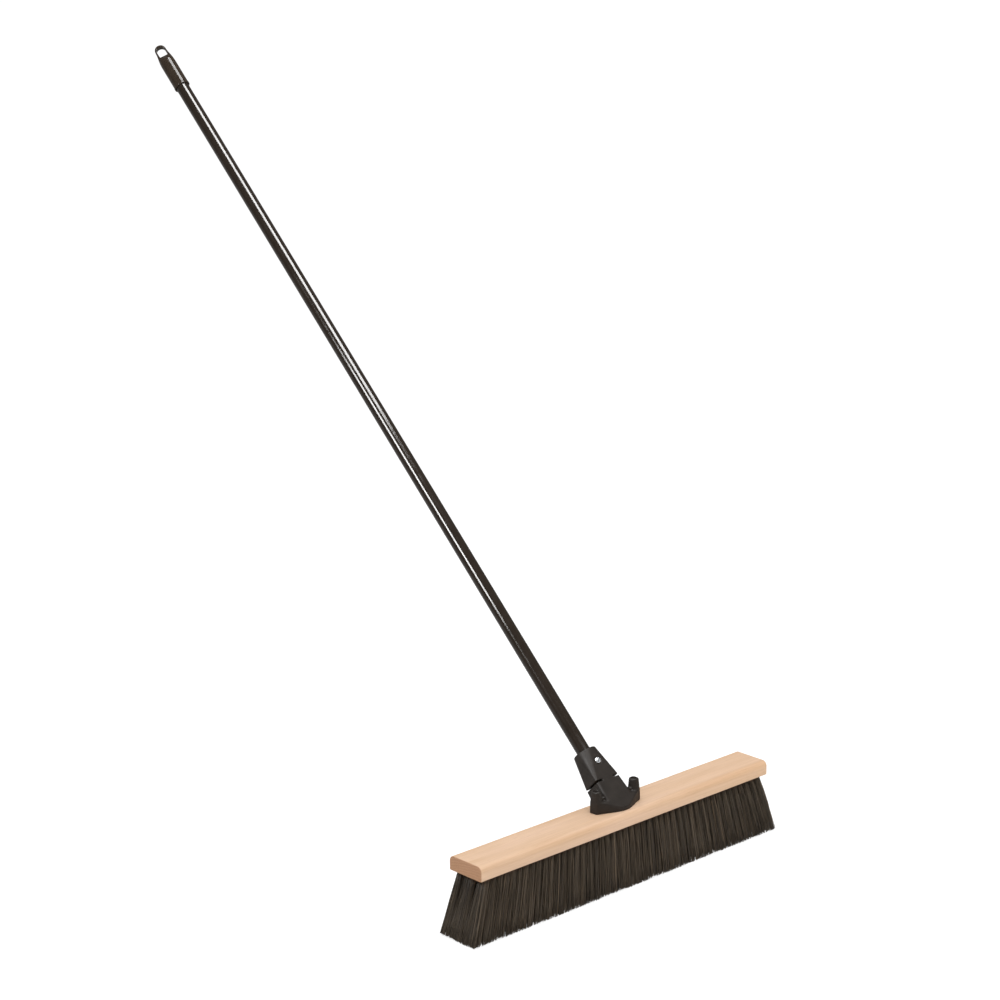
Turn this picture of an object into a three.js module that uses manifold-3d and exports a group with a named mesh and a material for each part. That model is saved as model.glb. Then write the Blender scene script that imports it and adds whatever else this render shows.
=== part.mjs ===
// Push broom, in millimetres with +Z up.
//
// A hardwood block carries five rows of bristle tufts that fan out to a flat trim. A moulded bracket is
// screwed to the block's top. Its neck is narrowed by a kerf from each side, so the handle can sway a few
// degrees sideways and spring back. Above the neck the bracket is a socket, and a steel handle with a
// plastic hang cap is bolted through it.
//
// The origin is the middle of the plane that the bristle tips lie in. X runs along the block, and the
// handle leans back towards +Y.

import * as THREE from 'three';
import { mergeVertices } from 'three/addons/utils/BufferGeometryUtils.js';
import Module from 'manifold-3d';

const wasm = await Module();
wasm.setup();

// Clearance between pieces that seat on or pass through each other
const SEAT_GAP = 0.3;

// Wood block
const BLOCK_LENGTH = 610;
const BLOCK_WIDTH = 68;
const BLOCK_THICKNESS = 23;
const BLOCK_TOP_ROUND = 8.5;
const BLOCK_BOTTOM_EASE = 2;
const BLOCK_END_EASE = 1.2;

// Bristles
const BRISTLE_TRIM = 97;
const TUFT_PITCH = 12.7;
const TUFT_END_MARGIN = 19;
const TUFT_SIDE_MARGIN = 8.5;
const TUFT_ROWS = 5;
const TUFT_ROOT_RADIUS = 3.4;
const TUFT_SIDES = 6;
const END_FLARE = 30;
const END_FLARE_POWER = 1.2;
const SIDE_FLARE = 4.7;
const TIP_MERGE = 1.15;
const ROW_GAP = 0.4;

// Handle axis: where it crosses the block's top face, and how far it leans from upright
const AXIS_OFFSET_Y = -3.5;
const HANDLE_LEAN = THREE.MathUtils.degToRad(45.8);

// Bracket base
const SKIRT_HALF_LENGTH = 46.5;
const SKIRT_END_HALF_WIDTH = 7.5;
const SKIRT_FRONT_HALF_FLAT = 7;
const SKIRT_HALF_WIDTH = 23.6;
const SKIRT_CORNER = 3;
const SKIRT_HEIGHT = 17.5;
const SKIRT_EDGE_ROUND = 1.5;
const BOSS_RADIUS = 7.4;
const BOSS_HEIGHT = 34.5;
const BOSS_DRAFT = 0.4;
const BOSS_TOP_ROUND = 2;
const BOSS_SPACING = 80;
const GUSSET_THICKNESS = 7;
const GUSSET_TOP = 25;
const GUSSET_SHOULDER = 21;
const TOWER_HALF_WIDTH = 21.5;
const TOWER_HALF_DEPTH = 16.5;
const TOWER_FLARE = 0.145;
const TOWER_CORNER = 4;

// Flexing neck: a kerf from each side, and a core that turns about the neck's centre
const NECK_HEIGHT = 42.5;
const KERF_WIDTH = 3;
const NECK_RADIUS = 11.7;
const RELIEF_RADIUS = 1.9;
const RELIEF_OFFSET = 12.9;

// Handle socket
const SOCKET_TOP = 99.7;
const SOCKET_WALL = 6.8;
const SOCKET_MOUTH_FLAT = 0.8;
const SOCKET_MOUTH_CHAMFER = 1.2;
const SOCKET_FLOOR = 3.5;

// Handle tube and hang cap
const TUBE_RADIUS = 11.1;
const TUBE_WALL = 1;
const HANDLE_REACH = 1538;
const CAP_LENGTH = 97;
const CAP_CROWN = 1;
const CAP_WALL = 1.8;
const CAP_RIM_STEP = 0.5;
const CAP_RIM_LENGTH = 4;
const CAP_RIM_CHAMFER = 1;
const TAB_HALF_WIDTH = 9.8;
const TAB_HALF_THICKNESS = 5;
const TAB_LENGTH = 26;
const TAB_SHOULDER = 11;
const TAB_END_TURN = THREE.MathUtils.degToRad(84);
const TAB_END_THINNING = 0.7;
const EYE_WIDTH = 14.8;
const EYE_LENGTH = 19;
const EYE_TOP_WALL = 5;
const EYE_CORNER = 1.2;
const EYE_TURN = THREE.MathUtils.degToRad(34);

// Through bolt, its washer and nut
const BOLT_HEIGHT = 73.5;
const BOLT_RADIUS = 3;
const BOLT_HEAD_RADIUS = 5.4;
const BOLT_HEAD_HEIGHT = 3.6;
const BOLT_HEAD_RIM = 1.2;
const BOLT_RECESS_WIDTH = 1.3;
const BOLT_RECESS_SPAN = 5.4;
const BOLT_RECESS_DEPTH = 1.8;
const SPOT_FACE_RADIUS = 6.8;
const SPOT_FACE_DEPTH = 0.5;
const WASHER_RADIUS = 6.2;
const WASHER_THICKNESS = 1.2;
const NUT_FLATS = 10;
const NUT_THICKNESS = 5;
const BOLT_TAIL = 1.5;
const BOLT_TAIL_CHAMFER = 0.5;

// Wood screws through the bosses
const SCREW_RADIUS = 2.2;
const SCREW_HEAD_RADIUS = 4.4;
const SCREW_HEAD_DEPTH = 3;
const SCREW_HEAD_EDGE = 0.5;
const SCREW_SINK = 3;
const SCREW_BITE = 16;
const SCREW_POINT = 5;

// How far a cutter, or a shape that is joined on, runs past a face
const PAST = 1;

// Facets
const ROUND = 24;
const SMALL_ROUND = 16;
const CORNER_STEPS = 5;
const DOME_STEPS = 4;
const CAP_STEPS = 5;

// Levels that follow from the sizes above
const UNDERSIDE_Z = BRISTLE_TRIM;
const DECK_Z = BRISTLE_TRIM + BLOCK_THICKNESS;
const PILOT_RADIUS = SCREW_RADIUS + SEAT_GAP;
const BOLT_HOLE_RADIUS = BOLT_RADIUS + SEAT_GAP;
const BORE_RADIUS = TUBE_RADIUS + SEAT_GAP;
const SOCKET_MOUTH_HALF = BORE_RADIUS + SOCKET_WALL;
const CAP_RADIUS = BORE_RADIUS + CAP_WALL;
const CAP_RIM_RADIUS = CAP_RADIUS + CAP_RIM_STEP;
const KERF_BOTTOM = NECK_HEIGHT - KERF_WIDTH / 2;
const KERF_TOP = NECK_HEIGHT + KERF_WIDTH / 2;
const BORE_BOTTOM = NECK_HEIGHT + NECK_RADIUS + SEAT_GAP + SOCKET_FLOOR;
const TUBE_BOTTOM = BORE_BOTTOM + SEAT_GAP;
const BRACKET_Z = DECK_Z + SEAT_GAP;
const CAP_BOTTOM = HANDLE_REACH - CAP_LENGTH;
const TAB_BOTTOM = HANDLE_REACH - TAB_LENGTH;
const SHOULDER_BOTTOM = TAB_BOTTOM - TAB_SHOULDER;
const TUBE_TOP = SHOULDER_BOTTOM - CAP_CROWN;

const COLOURS = {
  wood: { color: 0xe4c4a6, roughness: 0.62, metalness: 0 },
  bristle: { color: 0x2d2a24, roughness: 0.55, metalness: 0 },
  bracket: { color: 0x2f2c28, roughness: 0.5, metalness: 0 },
  paint: { color: 0x1d1a17, roughness: 0.22, metalness: 0 },
  cap: { color: 0x26221e, roughness: 0.3, metalness: 0 },
  zinc: { color: 0xd5d8da, roughness: 0.3, metalness: 0.9 },
};

// ---------------------------------------------------------------- shape helpers

function toSolid(geometry) {
  const bare = geometry.clone();
  bare.deleteAttribute('normal');
  bare.deleteAttribute('uv');
  const merged = mergeVertices(bare, 1e-4);
  return new wasm.Manifold(new wasm.Mesh({
    numProp: 3,
    vertProperties: new Float32Array(merged.attributes.position.array),
    triVerts: new Uint32Array(merged.index.array),
  }));
}

function toGeometry(solid) {
  const mesh = solid.getMesh();
  const geometry = new THREE.BufferGeometry();
  geometry.setAttribute('position', new THREE.BufferAttribute(mesh.vertProperties, 3));
  geometry.setIndex(new THREE.BufferAttribute(mesh.triVerts, 1));
  geometry.computeVertexNormals();
  return geometry;
}

// A solid of revolution about Z from [radius, z] pairs, listed upwards along the outside
function revolve(profile, sides = ROUND) {
  const points = profile.map(([radius, z]) => new THREE.Vector2(radius, z));
  return new THREE.LatheGeometry(points, sides).rotateX(Math.PI / 2);
}

// A cylinder or cone about Z between two levels
function rod(radius, from, to, sides = SMALL_ROUND, topRadius = radius) {
  return new THREE.CylinderGeometry(topRadius, radius, to - from, sides)
    .rotateX(Math.PI / 2)
    .translate(0, 0, (from + to) / 2);
}

// A rod about Z, laid over to run along -Y: its z levels become distances towards the bracket's front
function rodForward(radius, from, to, sides = SMALL_ROUND) {
  return rod(radius, from, to, sides).rotateX(Math.PI / 2);
}

function box(low, high) {
  const size = high.map((value, axis) => value - low[axis]);
  const centre = high.map((value, axis) => (value + low[axis]) / 2);
  return new THREE.BoxGeometry(...size).translate(...centre);
}

// A closed skin over rings of equally many points, from the first ring to the last, with flat ends.
// Each ring is a convex outline that runs anticlockwise when seen from the last ring's side.
function loft(rings) {
  const count = rings[0].length;
  const positions = rings.flat(2);
  const index = [];
  for (let ring = 0; ring + 1 < rings.length; ring += 1) {
    for (let i = 0; i < count; i += 1) {
      const a = ring * count + i;
      const b = ring * count + ((i + 1) % count);
      index.push(a, b, b + count);
      index.push(a, b + count, a + count);
    }
  }
  const last = (rings.length - 1) * count;
  for (let i = 1; i + 1 < count; i += 1) {
    index.push(0, i + 1, i);
    index.push(last, last + i, last + i + 1);
  }
  const geometry = new THREE.BufferGeometry();
  geometry.setAttribute('position', new THREE.Float32BufferAttribute(positions, 3));
  geometry.setIndex(index);
  return geometry;
}

// A polygon with each corner rounded off, starting `radius` along the sides from the corner
function roundedOutline(corners, radius) {
  const shape = new THREE.Shape();
  corners.forEach((corner, i) => {
    const before = corners[(i + corners.length - 1) % corners.length];
    const after = corners[(i + 1) % corners.length];
    const from = corner.clone().add(before.clone().sub(corner).setLength(radius));
    const to = corner.clone().add(after.clone().sub(corner).setLength(radius));
    if (i === 0) shape.moveTo(from.x, from.y);
    else shape.lineTo(from.x, from.y);
    shape.quadraticCurveTo(corner.x, corner.y, to.x, to.y);
  });
  shape.closePath();
  return shape;
}

// One ring of a rounded rectangle at height z
function rectangleRing(halfWidth, halfDepth, corner, z) {
  const ring = [];
  for (let quarter = 0; quarter < 4; quarter += 1) {
    const right = quarter === 0 || quarter === 3 ? 1 : -1;
    const back = quarter < 2 ? 1 : -1;
    for (let step = 0; step <= CORNER_STEPS; step += 1) {
      const angle = (quarter + step / CORNER_STEPS) * (Math.PI / 2);
      const x = right * (halfWidth - corner) + corner * Math.cos(angle);
      const y = back * (halfDepth - corner) + corner * Math.sin(angle);
      ring.push([x, y, z]);
    }
  }
  return ring;
}

// ---------------------------------------------------------------- scene assembly

const broom = new THREE.Group();

// Local +Z of this group runs up the handle, and local -Y points out of the bracket's front face
const handleGroup = new THREE.Group();
handleGroup.position.set(0, AXIS_OFFSET_Y, DECK_Z);
handleGroup.rotation.x = -HANDLE_LEAN;
handleGroup.updateMatrix();
broom.add(handleGroup);

function addPiece(parent, name, geometry, finish) {
  const mesh = new THREE.Mesh(geometry, new THREE.MeshStandardMaterial(COLOURS[finish]));
  mesh.name = name;
  parent.add(mesh);
}

// ---------------------------------------------------------------- block

function screwPlaces() {
  return [['left', -BOSS_SPACING / 2], ['right', BOSS_SPACING / 2]];
}

function blockGeometry() {
  const half = BLOCK_WIDTH / 2;
  const outline = new THREE.Shape();
  const arcZ = BLOCK_THICKNESS - BLOCK_TOP_ROUND;
  outline.moveTo(-half + BLOCK_BOTTOM_EASE, 0);
  outline.lineTo(half - BLOCK_BOTTOM_EASE, 0);
  outline.lineTo(half, BLOCK_BOTTOM_EASE);
  outline.absarc(half - BLOCK_TOP_ROUND, arcZ, BLOCK_TOP_ROUND, 0, Math.PI / 2);
  outline.absarc(-half + BLOCK_TOP_ROUND, arcZ, BLOCK_TOP_ROUND, Math.PI / 2, Math.PI);
  outline.lineTo(-half, BLOCK_BOTTOM_EASE);
  outline.closePath();
  const bar = new THREE.ExtrudeGeometry(outline, {
    depth: BLOCK_LENGTH - 2 * BLOCK_END_EASE,
    curveSegments: 6,
    bevelThickness: BLOCK_END_EASE,
    bevelSize: BLOCK_END_EASE,
    bevelOffset: -BLOCK_END_EASE,
    bevelSegments: 1,
  });
  bar.translate(0, 0, BLOCK_END_EASE - BLOCK_LENGTH / 2).rotateX(Math.PI / 2).rotateZ(Math.PI / 2);
  let solid = toSolid(bar.translate(0, 0, UNDERSIDE_Z));
  for (const [, x] of screwPlaces()) {
    const pilot = rod(PILOT_RADIUS, DECK_Z - SCREW_BITE - SEAT_GAP, DECK_Z + PAST).translate(x, 0, 0);
    solid = solid.subtract(toSolid(pilot));
  }
  return toGeometry(solid);
}

// ---------------------------------------------------------------- bristles

const TUFTS_PER_ROW = Math.floor((BLOCK_LENGTH - 2 * TUFT_END_MARGIN) / TUFT_PITCH) + 1;
const LAST_TUFT_X = ((TUFTS_PER_ROW - 1) / 2) * TUFT_PITCH;
const LAST_ROW_Y = BLOCK_WIDTH / 2 - TUFT_SIDE_MARGIN;
const ROW_PITCH = (2 * LAST_ROW_Y) / (TUFT_ROWS - 1);
const TIP_SPREAD_Y = (LAST_ROW_Y + SIDE_FLARE) / LAST_ROW_Y;

function tipX(rootX) {
  return rootX + Math.sign(rootX) * END_FLARE * (Math.abs(rootX) / LAST_TUFT_X) ** END_FLARE_POWER;
}

function tuftRing(x, y, z, halfWidth, halfDepth) {
  const ring = [];
  for (let i = 0; i < TUFT_SIDES; i += 1) {
    const angle = (i / TUFT_SIDES) * 2 * Math.PI;
    const flatten = halfDepth / Math.sin(Math.PI / 3);
    ring.push([x + halfWidth * Math.cos(angle), y + flatten * Math.sin(angle), z]);
  }
  return ring;
}

// One tuft from its trimmed tips up to the block, wide enough at the tips to run into its neighbours
function tuftSolid(rootX, rootY) {
  const spacing = tipX(rootX + TUFT_PITCH / 2) - tipX(rootX - TUFT_PITCH / 2);
  const halfDepth = (ROW_PITCH * TIP_SPREAD_Y - ROW_GAP) / 2;
  return toSolid(loft([
    tuftRing(tipX(rootX), rootY * TIP_SPREAD_Y, 0, (TIP_MERGE * spacing) / 2, halfDepth),
    tuftRing(rootX, rootY, UNDERSIDE_Z - SEAT_GAP, TUFT_ROOT_RADIUS, TUFT_ROOT_RADIUS),
  ]));
}

// Every second row is staggered by half a pitch. A row parts near the middle, where the fan does.
function addBristleRow(row) {
  const staggered = row % 2 === 1;
  const count = staggered ? TUFTS_PER_ROW - 1 : TUFTS_PER_ROW;
  const firstRight = Math.ceil((count + 1) / 2);
  const rootY = row * ROW_PITCH - LAST_ROW_Y;
  const rootX = (i) => (i - (count - 1) / 2) * TUFT_PITCH;
  const parting = (tipX(rootX(firstRight - 1)) + tipX(rootX(firstRight))) / 2;
  const reach = BLOCK_LENGTH + 2 * END_FLARE;
  const banks = [
    ['left', 0, firstRight, -reach, parting - ROW_GAP / 2],
    ['right', firstRight, count, parting + ROW_GAP / 2, reach],
  ];
  for (const [side, from, to, lowX, highX] of banks) {
    let bank = tuftSolid(rootX(from), rootY);
    for (let i = from + 1; i < to; i += 1) bank = bank.add(tuftSolid(rootX(i), rootY));
    const room = toSolid(box([lowX, -BLOCK_WIDTH, -PAST], [highX, BLOCK_WIDTH, DECK_Z]));
    addPiece(broom, `bristle_row_${row + 1}_${side}`, toGeometry(bank.intersect(room)), 'bristle');
  }
}

// ---------------------------------------------------------------- bracket base

function skirtOutline() {
  const corners = [];
  for (const [sx, sy] of [[1, -1], [1, 1], [-1, 1], [-1, -1]]) {
    const side = [
      new THREE.Vector2(sx * SKIRT_FRONT_HALF_FLAT, sy * SKIRT_HALF_WIDTH),
      new THREE.Vector2(sx * SKIRT_HALF_LENGTH, sy * SKIRT_END_HALF_WIDTH),
    ];
    corners.push(...(sx * sy < 0 ? side : side.reverse()));
  }
  return roundedOutline(corners, SKIRT_CORNER);
}

// The skirt is rounded along its top edge and flat underneath
function skirtSolid() {
  const plate = new THREE.ExtrudeGeometry(skirtOutline(), {
    depth: SKIRT_HEIGHT - SKIRT_EDGE_ROUND,
    curveSegments: 3,
    bevelThickness: SKIRT_EDGE_ROUND,
    bevelSize: SKIRT_EDGE_ROUND,
    bevelOffset: -SKIRT_EDGE_ROUND,
    bevelSegments: 2,
  });
  const reach = 2 * SKIRT_HALF_LENGTH;
  return toSolid(plate).subtract(toSolid(box([-reach, -reach, -reach], [reach, reach, 0])));
}

function gussetGeometry(side) {
  const outline = new THREE.Shape();
  outline.moveTo(0, PAST);
  outline.lineTo(side * (BOSS_SPACING / 2), PAST);
  outline.lineTo(side * (BOSS_SPACING / 2), GUSSET_SHOULDER);
  outline.lineTo(side * (BOSS_SPACING / 2 - BOSS_RADIUS), GUSSET_SHOULDER);
  outline.lineTo(side * TOWER_HALF_WIDTH, GUSSET_TOP);
  outline.lineTo(0, GUSSET_TOP);
  const plate = new THREE.ExtrudeGeometry(outline, { depth: GUSSET_THICKNESS, bevelEnabled: false });
  return plate.translate(0, 0, -GUSSET_THICKNESS / 2).rotateX(Math.PI / 2);
}

// The boss that a screw goes through: a drafted post with a rounded top
function bossGeometry() {
  const foot = BOSS_RADIUS + BOSS_DRAFT;
  const profile = [[0, PAST], [foot, PAST]];
  for (let i = 0; i <= DOME_STEPS; i += 1) {
    const angle = ((Math.PI / 2) * i) / DOME_STEPS;
    const inset = BOSS_TOP_ROUND * (1 - Math.cos(angle));
    profile.push([BOSS_RADIUS - inset, BOSS_HEIGHT - BOSS_TOP_ROUND * (1 - Math.sin(angle))]);
  }
  return revolve([...profile, [0, BOSS_HEIGHT]]);
}

// The two holes that end the kerfs, so that the neck doesn't tear
function reliefSolids(reach) {
  return [-1, 1].map((side) => {
    const hole = rodForward(RELIEF_RADIUS, -reach, reach);
    return toSolid(hole.translate(side * RELIEF_OFFSET, 0, NECK_HEIGHT));
  });
}

// The tower runs along the handle's axis and flares towards its foot. The kerf's lower face is its top.
function towerSolid() {
  const foot = -(SKIRT_HEIGHT + 2 * TOWER_HALF_DEPTH);
  const flare = TOWER_FLARE * (KERF_BOTTOM - foot);
  const tower = loft([
    rectangleRing(TOWER_HALF_WIDTH + flare, TOWER_HALF_DEPTH + flare, TOWER_CORNER + flare, foot),
    rectangleRing(TOWER_HALF_WIDTH, TOWER_HALF_DEPTH, TOWER_CORNER, KERF_BOTTOM),
  ]);
  const core = rodForward(NECK_RADIUS, -TOWER_HALF_DEPTH, TOWER_HALF_DEPTH, ROUND);
  let solid = toSolid(tower).add(toSolid(core.translate(0, 0, NECK_HEIGHT)));
  for (const hole of reliefSolids(2 * TOWER_HALF_DEPTH)) solid = solid.subtract(hole);
  return solid;
}

// Where the tower may stand: above the skirt, behind its middle, and in front only inside its outline
function towerRoom() {
  const wide = 4 * SKIRT_HALF_LENGTH;
  const inside = new THREE.ExtrudeGeometry(skirtOutline(), {
    depth: wide,
    curveSegments: 3,
    bevelEnabled: false,
  });
  const behind = box([-wide, 0, 0], [wide, wide, wide]);
  const above = box([-wide, -wide, SKIRT_HEIGHT - SKIRT_EDGE_ROUND], [wide, PAST, wide]);
  return toSolid(inside).add(toSolid(behind)).add(toSolid(above));
}

function bracketBaseGeometry() {
  const toSeat = new THREE.Matrix4().makeTranslation(0, 0, -BRACKET_Z).multiply(handleGroup.matrix);
  const tower = toSolid(toGeometry(towerSolid()).applyMatrix4(toSeat)).intersect(towerRoom());
  let solid = skirtSolid().add(tower);
  for (const [, x] of screwPlaces()) {
    const boss = bossGeometry().translate(x, 0, 0);
    solid = solid.add(toSolid(boss)).add(toSolid(gussetGeometry(Math.sign(x))));
  }
  for (const [, x] of screwPlaces()) {
    const shank = rod(PILOT_RADIUS, -PAST, BOSS_HEIGHT + PAST).translate(x, 0, 0);
    const headTop = BOSS_HEIGHT - SCREW_SINK;
    const seat = revolve([
      [0, headTop - SCREW_HEAD_DEPTH - SEAT_GAP],
      [PILOT_RADIUS, headTop - SCREW_HEAD_DEPTH - SEAT_GAP],
      [SCREW_HEAD_RADIUS + SEAT_GAP, headTop - SEAT_GAP],
      [SCREW_HEAD_RADIUS + SEAT_GAP, BOSS_HEIGHT + PAST],
      [0, BOSS_HEIGHT + PAST],
    ], SMALL_ROUND).translate(x, 0, 0);
    solid = solid.subtract(toSolid(shank)).subtract(toSolid(seat));
  }
  return toGeometry(solid).translate(0, 0, BRACKET_Z);
}

function screwGeometry() {
  const headTop = BOSS_HEIGHT - SCREW_SINK;
  return revolve([
    [0, -SCREW_BITE],
    [SCREW_RADIUS, -SCREW_BITE + SCREW_POINT],
    [SCREW_RADIUS, headTop - SCREW_HEAD_DEPTH],
    [SCREW_HEAD_RADIUS, headTop - SCREW_HEAD_EDGE],
    [SCREW_HEAD_RADIUS, headTop],
    [0, headTop],
  ], SMALL_ROUND);
}

// ---------------------------------------------------------------- handle socket and its fasteners

// The socket changes from the tower's rounded rectangle to a nearly round mouth
const SOCKET_TAPER = (TOWER_HALF_DEPTH - SOCKET_MOUTH_HALF) / (SOCKET_TOP - KERF_TOP);
const SOCKET_DEPTH_AT_BOLT = SOCKET_MOUTH_HALF + SOCKET_TAPER * (SOCKET_TOP - BOLT_HEIGHT);
const BOLT_SEAT = SOCKET_DEPTH_AT_BOLT - SPOT_FACE_DEPTH;

function socketGeometry() {
  const mouth = SOCKET_MOUTH_HALF - SOCKET_MOUTH_CHAMFER;
  const sleeve = loft([
    rectangleRing(TOWER_HALF_WIDTH, TOWER_HALF_DEPTH, TOWER_CORNER, KERF_TOP),
    rectangleRing(SOCKET_MOUTH_HALF, SOCKET_MOUTH_HALF, SOCKET_MOUTH_HALF - SOCKET_MOUTH_FLAT,
      SOCKET_TOP - SOCKET_MOUTH_CHAMFER),
    rectangleRing(mouth, mouth, mouth - SOCKET_MOUTH_FLAT, SOCKET_TOP),
  ]);
  const reach = 2 * TOWER_HALF_DEPTH;
  const seat = rodForward(NECK_RADIUS + SEAT_GAP, -reach, reach, ROUND).translate(0, 0, NECK_HEIGHT);
  const hole = rodForward(BOLT_HOLE_RADIUS, -reach, reach).translate(0, 0, BOLT_HEIGHT);
  const frontFace = rodForward(SPOT_FACE_RADIUS, BOLT_SEAT, reach, ROUND).translate(0, 0, BOLT_HEIGHT);
  const rearFace = rodForward(SPOT_FACE_RADIUS, -reach, -BOLT_SEAT, ROUND).translate(0, 0, BOLT_HEIGHT);
  let solid = toSolid(sleeve).subtract(toSolid(rod(BORE_RADIUS, BORE_BOTTOM, SOCKET_TOP + PAST, ROUND)));
  for (const cut of [seat, hole, frontFace, rearFace]) solid = solid.subtract(toSolid(cut));
  for (const relief of reliefSolids(reach)) solid = solid.subtract(relief);
  return toGeometry(solid);
}

// The bolt is turned about Z, head up, and then laid over with its head to the front
function boltGeometry() {
  const nutFace = -(BOLT_SEAT + SEAT_GAP + WASHER_THICKNESS + SEAT_GAP + NUT_THICKNESS);
  const seat = BOLT_SEAT + SEAT_GAP;
  const top = seat + BOLT_HEAD_HEIGHT;
  const tail = nutFace - BOLT_TAIL;
  const profile = [
    [0, tail],
    [BOLT_RADIUS - BOLT_TAIL_CHAMFER, tail],
    [BOLT_RADIUS, tail + BOLT_TAIL_CHAMFER],
    [BOLT_RADIUS, seat],
    [BOLT_HEAD_RADIUS, seat],
  ];
  for (let i = 0; i < DOME_STEPS; i += 1) {
    const angle = ((Math.PI / 2) * i) / DOME_STEPS;
    const rise = (BOLT_HEAD_HEIGHT - BOLT_HEAD_RIM) * Math.sin(angle);
    profile.push([BOLT_HEAD_RADIUS * Math.cos(angle), seat + BOLT_HEAD_RIM + rise]);
  }
  const turned = revolve([...profile, [0, top]]);
  const half = BOLT_RECESS_WIDTH / 2;
  const span = BOLT_RECESS_SPAN / 2;
  const slot = box([-span, -half, top - BOLT_RECESS_DEPTH], [span, half, top + PAST]);
  const cross = box([-half, -span, top - BOLT_RECESS_DEPTH], [half, span, top + PAST]);
  const solid = toSolid(turned).subtract(toSolid(slot)).subtract(toSolid(cross));
  return toGeometry(solid).rotateX(Math.PI / 2).translate(0, 0, BOLT_HEIGHT);
}

function washerGeometry() {
  const outer = -(BOLT_SEAT + SEAT_GAP + WASHER_THICKNESS);
  const disc = rodForward(WASHER_RADIUS, outer, outer + WASHER_THICKNESS, ROUND);
  const hole = rodForward(BOLT_HOLE_RADIUS, outer - PAST, 0);
  return toGeometry(toSolid(disc).subtract(toSolid(hole))).translate(0, 0, BOLT_HEIGHT);
}

function nutGeometry() {
  const inner = -(BOLT_SEAT + SEAT_GAP + WASHER_THICKNESS + SEAT_GAP);
  const across = NUT_FLATS / 2 / Math.cos(Math.PI / 6);
  const body = rodForward(across, inner - NUT_THICKNESS, inner, 6);
  const hole = rodForward(BOLT_HOLE_RADIUS, inner - NUT_THICKNESS - PAST, 0);
  return toGeometry(toSolid(body).subtract(toSolid(hole))).translate(0, 0, BOLT_HEIGHT);
}

// ---------------------------------------------------------------- handle tube and hang cap

function tubeGeometry() {
  const inner = TUBE_RADIUS - TUBE_WALL;
  const pipe = revolve([
    [inner, TUBE_BOTTOM],
    [TUBE_RADIUS, TUBE_BOTTOM],
    [TUBE_RADIUS, TUBE_TOP],
    [inner, TUBE_TOP],
    [inner, TUBE_BOTTOM],
  ]);
  const reach = 2 * TUBE_RADIUS;
  const hole = rodForward(BOLT_HOLE_RADIUS, -reach, reach).translate(0, 0, BOLT_HEIGHT);
  return toGeometry(toSolid(pipe).subtract(toSolid(hole)));
}

// The cap's ring at one height: a circle of the given half width, flattened on two sides
function capRing(halfWidth, halfThickness, z) {
  const ring = [];
  for (let i = 0; i < ROUND; i += 1) {
    const angle = ((i + 0.5) / ROUND) * 2 * Math.PI;
    const y = THREE.MathUtils.clamp(halfWidth * Math.sin(angle), -halfThickness, halfThickness);
    ring.push([halfWidth * Math.cos(angle), y, z]);
  }
  return ring;
}

// Barrel, shoulder that narrows into the flat tab, and the tab's half-round end
function capRings() {
  const rings = [
    capRing(CAP_RIM_RADIUS, CAP_RIM_RADIUS, CAP_BOTTOM),
    capRing(CAP_RIM_RADIUS, CAP_RIM_RADIUS, CAP_BOTTOM + CAP_RIM_LENGTH),
    capRing(CAP_RADIUS, CAP_RADIUS, CAP_BOTTOM + CAP_RIM_LENGTH + CAP_RIM_CHAMFER),
  ];
  for (let i = 0; i <= CAP_STEPS; i += 1) {
    const blend = (1 - Math.cos((Math.PI * i) / CAP_STEPS)) / 2;
    const width = THREE.MathUtils.lerp(CAP_RADIUS, TAB_HALF_WIDTH, blend);
    const thickness = THREE.MathUtils.lerp(CAP_RADIUS, TAB_HALF_THICKNESS, blend);
    rings.push(capRing(width, thickness, TAB_BOTTOM - TAB_SHOULDER * (1 - i / CAP_STEPS)));
  }
  for (let i = 0; i <= CAP_STEPS; i += 1) {
    const angle = (TAB_END_TURN * i) / CAP_STEPS;
    const width = TAB_HALF_WIDTH * Math.cos(angle);
    const thickness = TAB_HALF_THICKNESS * (i === CAP_STEPS ? TAB_END_THINNING : 1);
    rings.push(capRing(width, thickness, HANDLE_REACH - TAB_HALF_WIDTH * (1 - Math.sin(angle))));
  }
  return rings;
}

// The hang eye: flat at the bottom and arched at the top, right through the tab
function eyeGeometry() {
  const half = EYE_WIDTH / 2;
  const top = HANDLE_REACH - EYE_TOP_WALL;
  const bottom = top - EYE_LENGTH;
  const outline = new THREE.Shape();
  outline.moveTo(-half + EYE_CORNER, bottom);
  outline.lineTo(half - EYE_CORNER, bottom);
  outline.quadraticCurveTo(half, bottom, half, bottom + EYE_CORNER);
  outline.lineTo(half, top - half);
  outline.absarc(0, top - half, half, 0, Math.PI);
  outline.lineTo(-half, bottom + EYE_CORNER);
  outline.quadraticCurveTo(-half, bottom, -half + EYE_CORNER, bottom);
  const depth = 4 * TAB_HALF_THICKNESS;
  const prism = new THREE.ExtrudeGeometry(outline, { depth, curveSegments: 10, bevelEnabled: false });
  return prism.translate(0, 0, -depth / 2).rotateX(Math.PI / 2);
}

function capGeometry() {
  const bore = rod(BORE_RADIUS, CAP_BOTTOM - PAST, TUBE_TOP + SEAT_GAP, ROUND);
  const solid = toSolid(loft(capRings())).subtract(toSolid(bore)).subtract(toSolid(eyeGeometry()));
  return toGeometry(solid).rotateZ(-EYE_TURN);
}

// ---------------------------------------------------------------- build

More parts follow.
